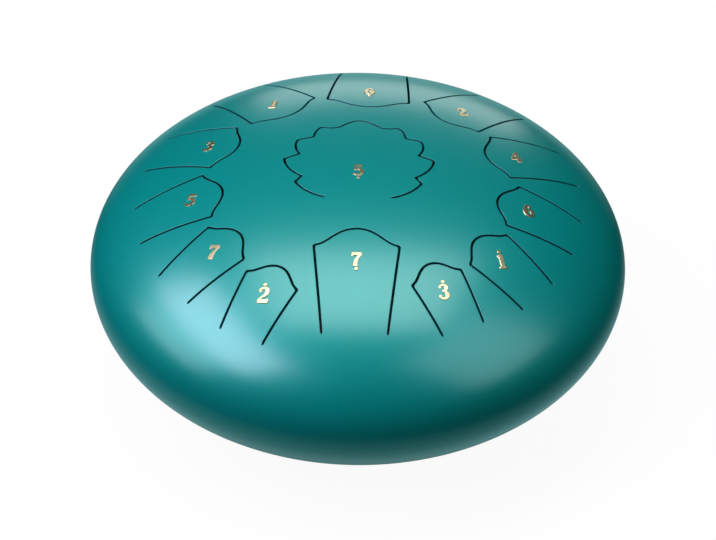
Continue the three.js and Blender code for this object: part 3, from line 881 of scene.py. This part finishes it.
def slot_wall_enamel_painted_shade(add, place, sizes):
    """Enamel on the laser-cut walls of the slots and holes, grooved by the laser. Its dark teal is a
    painted shade for the inside of the narrow cuts, so that the eye reads them as ink lines.
    """
    patches = add("TexNoise", {"Vector": place, "Scale": scale_of(4), "Detail": 3.0})
    grooves = add("TexNoise", {"Vector": place, "Scale": scale_of(0.3), "Detail": 1.0})
    # painted shade: the walls' dark teal stands for the shade inside the narrow cuts
    shaded = shades(sizes.slot_shade_colour, 0.7, 1.3)
    tone = add("Mix", {"Factor": patches, **shaded}, data_type="RGBA")
    bump = add("Bump", {"Height": grooves, "Strength": 0.5, "Distance": 0.03 * MM})
    return add("BsdfPrincipled", {"Base Color": tone, "Roughness": 0.6, "Normal": bump})


def gilt_nickel_foil(add, place, sizes):
    """Electroformed nickel foil with a gold lacquer, a mirror that catches lamps and dark."""
    smear = add("TexNoise", {"Vector": place, "Scale": scale_of(1.5), "Detail": 3.0})
    dents = add("TexNoise", {"Vector": place, "Scale": scale_of(5), "Detail": 1.0})
    gloss = add("MapRange", {"Value": smear, **swing(sizes.foil_roughness, 0.03)})
    bump = add("Bump", {"Height": dents, "Strength": 1.0, "Distance": 0.35 * MM})
    shaded = shades(sizes.foil_colour, 0.92, 1.04)
    tone = add("Mix", {"Factor": smear, **shaded}, data_type="RGBA")
    return add("BsdfPrincipled", {
        "Base Color": tone, "Metallic": 1.0, "Roughness": gloss, "Normal": bump,
    })


def moulded_black_rubber(add, place, sizes):
    """Black rubber pressed in a spark-eroded mould, matt with a fine grain and grey scuffs."""
    # the mould's grain is about 0.1 mm wide, and is drawn coarser so that it shows
    grain = add("TexNoise", {"Vector": place, "Scale": scale_of(0.5), "Detail": 3.0})
    dust = add("TexNoise", {"Vector": place, "Scale": scale_of(6), "Detail": 4.0})
    film = add("MapRange", {"Value": dust, "From Min": 0.5, "From Max": 0.8})
    shaded = shades(sizes.rubber_colour, 1.0, 2.2)
    tone = add("Mix", {"Factor": film, **shaded}, data_type="RGBA")
    bump = add("Bump", {"Height": grain, "Strength": 0.5, "Distance": 0.05 * MM})
    return add("BsdfPrincipled", {
        "Base Color": tone, "Roughness": 0.78, "IOR": 1.52, "Normal": bump,
    })


def bright_zinc_plate(add, place, sizes):
    """Bright zinc plate with a clear passivate, cool silver with cloudy patches of gloss."""
    clouds = add("TexNoise", {"Vector": place, "Scale": scale_of(2.5), "Detail": 3.0})
    gloss = add("MapRange", {"Value": clouds, **swing(0.32, 0.08)})
    shaded = shades(sizes.zinc_colour, 0.85, 1.05)
    tone = add("Mix", {"Factor": clouds, **shaded}, data_type="RGBA")
    return add("BsdfPrincipled", {"Base Color": tone, "Metallic": 1.0, "Roughness": gloss})


# Stage


# Name, azimuth from the player's side and elevation in degrees, size in metres, power in watts,
# tint
LAMPS = (
    ("top_softbox", (180, 80), (1.3, 0.9), 13.2, (1, 1, 1)),
    ("left_softbox", (-76, 48), (1.4, 0.68), 15.3, (1.14, 0.95, 1.19)),
    ("left_fill", (-78, 25), (1.0, 0.6), 4.4, (1, 1, 1.1)),
    ("right_softbox", (64, 43), (1.0, 1.3), 6.0, (1, 1, 1.08)),
    ("back_fill", (176, 7), (0.95, 0.48), 2.3, (1, 1, 1)),
)
LAMP_DISTANCE = 1.6
LAMP_AIM = Vector((0, 0, 0.08))
FLOOR_REACH = 3.0
# Where the light on the floor changes, in millimetres from the drum's axis: the painted shade under
# the drum ends, the painted reflection's ring grows, and it fades out again
SHADE_END = (50, 85)
RING_START = (85, 145)
RING_END = (290, 150)
# The patch of painted reflection behind the drum, by its middle and the fade round that
PATCH_BEHIND = 420
PATCH_END = (360, 220)


def area_lamp(name, direction, size, power, tint):
    """A softbox at an azimuth and elevation from the drum, aimed at it."""
    azimuth, elevation = map(math.radians, direction)
    away = Vector((
        math.cos(elevation) * math.sin(azimuth),
        -math.cos(elevation) * math.cos(azimuth),
        math.sin(elevation),
    ))
    data = bpy.data.lights.new(name, "AREA")
    data.shape = "RECTANGLE"
    data.size, data.size_y = size
    data.energy = power
    data.color = tint
    lamp = new_object(name, data)
    lamp.location = LAMP_AIM + away * LAMP_DISTANCE
    lamp.rotation_euler = away.to_track_quat("Z", "Y").to_euler()


def over(start, end):
    """The settings that turn a distance between two lengths in millimetres into 0 to 1."""
    return {"From Min": start * MM, "From Max": end * MM}


def seamless_paper(add, place, stage):
    """Seamless paper. It looks white to the camera and keeps the drum's shadow. Right under the
    drum its white glow is taken out, a painted shade as dark as the drum's own shade, so that
    the slots aren't lit from below. In the drum's reflections the paper is painted black, as a
    dark room, and a painted reflection of lit paper is added in a ring round the drum's foot
    and in a patch close behind it.
    """
    # paper's fibres are too fine to show, so they are drawn 2 mm wide
    fibre = add("TexNoise", {"Vector": place, "Scale": scale_of(2), "Detail": 4.0})
    bump = add("Bump", {"Height": fibre, "Strength": 0.1, "Distance": 0.05 * MM})
    rays = add("LightPath")
    glossy = rays.outputs["Is Glossy Ray"]
    # painted reflection: in the drum's reflections the paper turns black, as a dark room
    tone = add("Mix", {
        "Factor": glossy, "A": rgba(stage.paper_colour), "B": rgba((0, 0, 0)),
    }, data_type="RGBA")
    paper = add("BsdfDiffuse", {"Color": tone, "Normal": bump})
    away = add("VectorMath", {0: place}, operation="LENGTH")
    # painted shade: the camera's white glow is taken out under the drum
    clear = add("MapRange", {"Value": away, **over(*SHADE_END), "To Min": 0.008})
    straight = add("Math", {
        0: rays.outputs["Is Camera Ray"], 1: rays.outputs["Is Transmission Ray"],
    }, operation="MAXIMUM")
    seen = add("Math", {0: straight, 1: clear}, operation="MULTIPLY")
    # painted reflection: a ring of light round the drum's foot and a patch behind it
    inner = add("MapRange", {"Value": away, **over(*RING_START), "To Max": stage.painted_near_reflection})
    outer = add("MapRange", {"Value": away, **over(*RING_END)})
    near = add("Math", {0: inner, 1: outer}, operation="MULTIPLY")
    middle = (0, PATCH_BEHIND * MM, 0)
    patch = add("VectorMath", {0: place, 1: middle}, operation="DISTANCE")
    behind = add("MapRange", {"Value": patch, **over(*PATCH_END), "To Max": stage.painted_back_reflection})
    painted_reflection_mask = add("Math", {0: near, 1: behind}, operation="MAXIMUM")
    # the painted reflection is seen only in glossy rays
    sheen = add("Math", {0: glossy, 1: painted_reflection_mask}, operation="MULTIPLY")
    glow = add("Math", {0: seen, 1: stage.paper_glow, 2: sheen}, operation="MULTIPLY_ADD")
    # the painted reflection is tinted teal, as if the drum threw its colour on the paper
    glow_and_reflection_tint = add("Mix", {
        "Factor": glossy, "A": rgba((1, 1, 1)), "B": rgba(stage.painted_reflection_tint),
    }, data_type="RGBA")
    light = add("Emission", {"Color": glow_and_reflection_tint, "Strength": glow})
    return add("AddShader", {0: paper, 1: light})


def build_floor(stage):
    mesh = bpy.data.meshes.new("floor")
    sides = ((-1, -1), (1, -1), (1, 1), (-1, 1))
    mesh.from_pydata([(x * FLOOR_REACH, y * FLOOR_REACH, 0) for x, y in sides], [], [(0, 1, 2, 3)])
    mesh.materials.append(finish(seamless_paper, stage))
    floor = new_object("floor", mesh)


def build_world(stage):
    world = bpy.data.worlds.new("studio")
    bpy.context.scene.world = world
    world.use_nodes = True
    world.node_tree.nodes.clear()
    add = partial(add_node, world.node_tree)
    rays = add("LightPath")
    room = add("Background", {"Color": rgba(stage.room_colour), "Strength": stage.room_light})
    white = add("Background", {"Color": rgba((1, 1, 1)), "Strength": 1.0})
    straight = add("Math", {
        0: rays.outputs["Is Camera Ray"], 1: rays.outputs["Is Transmission Ray"],
    }, operation="MAXIMUM")
    seen = add("MixShader", {0: straight, 1: room, 2: white})
    add("OutputWorld", {"Surface": seen})


def build_camera():
    """The photograph's view: from the player's side, 41 degrees up, a little to the right."""
    elevation, roll, azimuth = (math.radians(angle) for angle in (40.81, 0.641, 0.6))
    aim = Vector((0.00015, 0, 0.0574))
    distance = 1.0253
    up = Vector((0, math.sin(elevation), math.cos(elevation)))
    back = Vector((0, -math.cos(elevation), math.sin(elevation)))
    side = Vector((1, 0, 0))
    right = side * math.cos(roll) + up * math.sin(roll)
    top = up * math.cos(roll) - side * math.sin(roll)
    matrix = Matrix((right, top, back)).transposed().to_4x4()
    matrix.translation = aim + back * distance
    data = bpy.data.cameras.new("camera")
    data.lens = 90.5
    data.sensor_width = 36
    camera = new_object("camera", data)
    camera.matrix_world = Matrix.Rotation(azimuth, 4, "Z") @ matrix
    bpy.context.scene.camera = camera


# Settings


def length_prop(label, about, size):
    """A length, its default given in millimetres."""
    return bpy.props.FloatProperty(
        name=label, description=about, default=size * MM, unit="LENGTH", precision=5,
    )


def share_prop(label, about, value):
    """A number from 0 to 1."""
    return bpy.props.FloatProperty(
        name=label, description=about, default=value, min=0.0, max=1.0, subtype="FACTOR",
    )


def colour_prop(label, about, code):
    """A colour, its default given as an sRGB hex value."""
    return bpy.props.FloatVectorProperty(
        name=label, description=about, default=colour(code), subtype="COLOR",
    )


class ShellSettings(bpy.types.PropertyGroup):
    """Sizes and finish of the two pressed bowls."""

    mesh_step: length_prop("Mesh step", "Spacing of the points on the bowls", 3.0)
    steps_round: bpy.props.IntProperty(
        name="Steps round the rim", description="Points on the rim's circle", default=480,
    )
    edge_round: length_prop("Edge round", "Radius that paint gives the edges of slots and holes", 0.2)
    corner_round: length_prop("Corner round", "How far the corners of the cut slots are eased", 1.1)
    paint_colour: colour_prop("Paint", "Colour of the enamel", "#009993")
    # the cut walls' dark teal is a painted shade for the inside of the narrow cuts
    slot_shade_colour: colour_prop("Cuts", "Colour of the cut walls", "#0C5461")
    paint_roughness: share_prop("Paint roughness", "Roughness of the satin enamel", 0.42)
    paint_flake: share_prop("Flake", "Share of metal flake in the enamel", 0.34)
    varnish: share_prop("Varnish", "Weight of the clear satin varnish over the enamel", 1.0)
    varnish_roughness: share_prop("Varnish roughness", "Roughness of the varnish", 0.27)


class MarkSettings(bpy.types.PropertyGroup):
    """Sizes and finish of the foil numerals and dots."""

    foil_rise: length_prop("Rise", "Height of the foil's middle over the paint", 0.4)
    foil_side: length_prop("Side", "Height of the foil's upright edge", 0.14)
    foil_bevel: length_prop("Bevel", "Width of the pillowed border", 0.32)
    foil_corner: length_prop("Corner round", "How far the outline's corners are eased", 0.08)
    foil_step: length_prop("Mesh step", "Spacing of the points on the foil", 0.2)
    foil_colour: colour_prop("Foil", "Colour of the gold lacquer", "#EADFB0")
    foil_roughness: share_prop("Foil roughness", "Roughness of the mirror foil", 0.33)


class FootSettings(bpy.types.PropertyGroup):
    """Finish of the rubber feet and their fasteners."""

    foot_steps: bpy.props.IntProperty(
        name="Steps round a foot", description="Points on a foot's circle", default=72,
    )
    rubber_colour: colour_prop("Rubber", "Colour of the feet", "#1E1E1F")
    zinc_colour: colour_prop("Zinc", "Colour of the plated fasteners", "#C6C9CE")


class StageSettings(bpy.types.PropertyGroup):
    """Floor, room and light."""

    paper_colour: colour_prop("Paper", "Colour of the floor", "#4C4C4C")
    paper_glow: share_prop("Paper glow", "White added where the camera sees the floor", 0.94)
    # painted reflections: light that only the drum's reflections see, and its teal tint
    painted_near_reflection: share_prop("Paper sheen", "Light added where the paint mirrors the near floor", 0.6)
    painted_back_reflection: share_prop("Back sheen", "Light added where the paint mirrors the floor behind", 0.44)
    painted_reflection_tint: colour_prop("Paper tint", "Colour that the drum throws on the near floor", "#BFFBFF")
    room_colour: colour_prop("Room", "Colour of the room round the stage", "#FFFFFF")
    room_light: share_prop("Room light", "Brightness of the room", 0.004)
    lamp_power: bpy.props.FloatProperty(
        name="Lamp power", description="Factor on all the softboxes", default=1.0, min=0.0,
    )


GROUPS = {
    "drum_shells": ShellSettings,
    "drum_marks": MarkSettings,
    "drum_feet": FootSettings,
    "drum_stage": StageSettings,
}


# Operators


class DRUM_OT_shells(bpy.types.Operator):
    """Build the upper shell with its slits and the lower shell with its holes"""

    bl_idname = "drum.shells"
    bl_label = "Pressed shells"

    def execute(self, context):
        sizes = context.scene.drum_shells
        paints = [finish(baked_flake_enamel, sizes), finish(slot_wall_enamel_painted_shade, sizes)]
        pressed_shell("upper_shell", UPPER, slot_outlines(sizes), sizes, paints)
        pressed_shell("lower_shell", LOWER, bowl_holes(), sizes, paints)
        return {"FINISHED"}


class DRUM_OT_marks(bpy.types.Operator):
    """Build the foil numerals and their octave dots"""

    bl_idname = "drum.marks"
    bl_label = "Foil numerals and dots"

    def execute(self, context):
        sizes = context.scene.drum_marks
        foil = finish(gilt_nickel_foil, sizes)
        for node in sorted(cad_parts):
            if node.startswith(("numeral_", "dot_")):
                foil_mark(node, sizes, foil)
        return {"FINISHED"}


class DRUM_OT_feet(bpy.types.Operator):
    """Build the rubber feet"""

    bl_idname = "drum.feet"
    bl_label = "Rubber feet"

    def execute(self, context):
        sizes = context.scene.drum_feet
        rubber = finish(moulded_black_rubber, sizes)
        steps = sizes.foot_steps
        points, faces = turned_rings(foot_profile(steps), steps, closed=True)
        for i in range(FOOT_COUNT):
            place = foot_place(i)
            node = f"foot_{i + 1}"
            make_piece(f"rubber_{node}", place(points), faces, rubber, [node])
        return {"FINISHED"}


class DRUM_OT_fasteners(bpy.types.Operator):
    """Build the screws, washers and nuts of the feet"""

    bl_idname = "drum.fasteners"
    bl_label = "Screws, washers and nuts"

    def execute(self, context):
        zinc = finish(bright_zinc_plate, context.scene.drum_feet)
        rings = (
            ("plain_washer", "foot_washer", washer_profile(), WASHER_STEPS),
            ("hexagon_nut", "foot_nut", nut_profile(NUT_STEPS), NUT_STEPS),
        )
        for i in range(FOOT_COUNT):
            place = foot_place(i)
            build_screw(f"pan_head_screw_{i + 1}", f"foot_screw_{i + 1}", place, zinc)
            for kind, node, profile, steps in rings:
                points, faces = turned_rings(profile, steps, closed=True)
                name = f"{kind}_{i + 1}"
                make_piece(name, place(points), faces, zinc, [f"{node}_{i + 1}"])
        return {"FINISHED"}


class DRUM_OT_stage(bpy.types.Operator):
    """Build the floor, the room, the softboxes and the camera"""

    bl_idname = "drum.stage"
    bl_label = "Studio stage"

    def execute(self, context):
        stage = context.scene.drum_stage
        context.scene.view_settings.view_transform = "Standard"
        build_floor(stage)
        build_world(stage)
        for name, direction, size, power, tint in LAMPS:
            area_lamp(name, direction, size, power * stage.lamp_power, tint)
        build_camera()
        return {"FINISHED"}


OPERATORS = (DRUM_OT_shells, DRUM_OT_marks, DRUM_OT_feet, DRUM_OT_fasteners, DRUM_OT_stage)


class DRUM_PT_panel(bpy.types.Panel):
    """Buttons that build the drum"""

    bl_label = "Tongue drum"
    bl_space_type = "VIEW_3D"
    bl_region_type = "UI"
    bl_category = "Drum"

    def draw(self, context):
        for operator in OPERATORS:
            self.layout.operator(operator.bl_idname)
        for group, kind in GROUPS.items():
            box = self.layout.box()
            for name in kind.__annotations__:
                box.prop(getattr(context.scene, group), name)


def register():
    for kind in (*GROUPS.values(), *OPERATORS, DRUM_PT_panel):
        bpy.utils.register_class(kind)
    for group, kind in GROUPS.items():
        setattr(bpy.types.Scene, group, bpy.props.PointerProperty(type=kind))


def unregister():
    for group in GROUPS:
        delattr(bpy.types.Scene, group)
    for kind in (DRUM_PT_panel, *OPERATORS[::-1], *GROUPS.values()):
        bpy.utils.unregister_class(kind)


def main():
    register()
    bpy.ops.drum.shells()
    bpy.ops.drum.marks()
    bpy.ops.drum.feet()
    bpy.ops.drum.fasteners()
    bpy.ops.drum.stage()


if __name__ == "__main__":
    main()
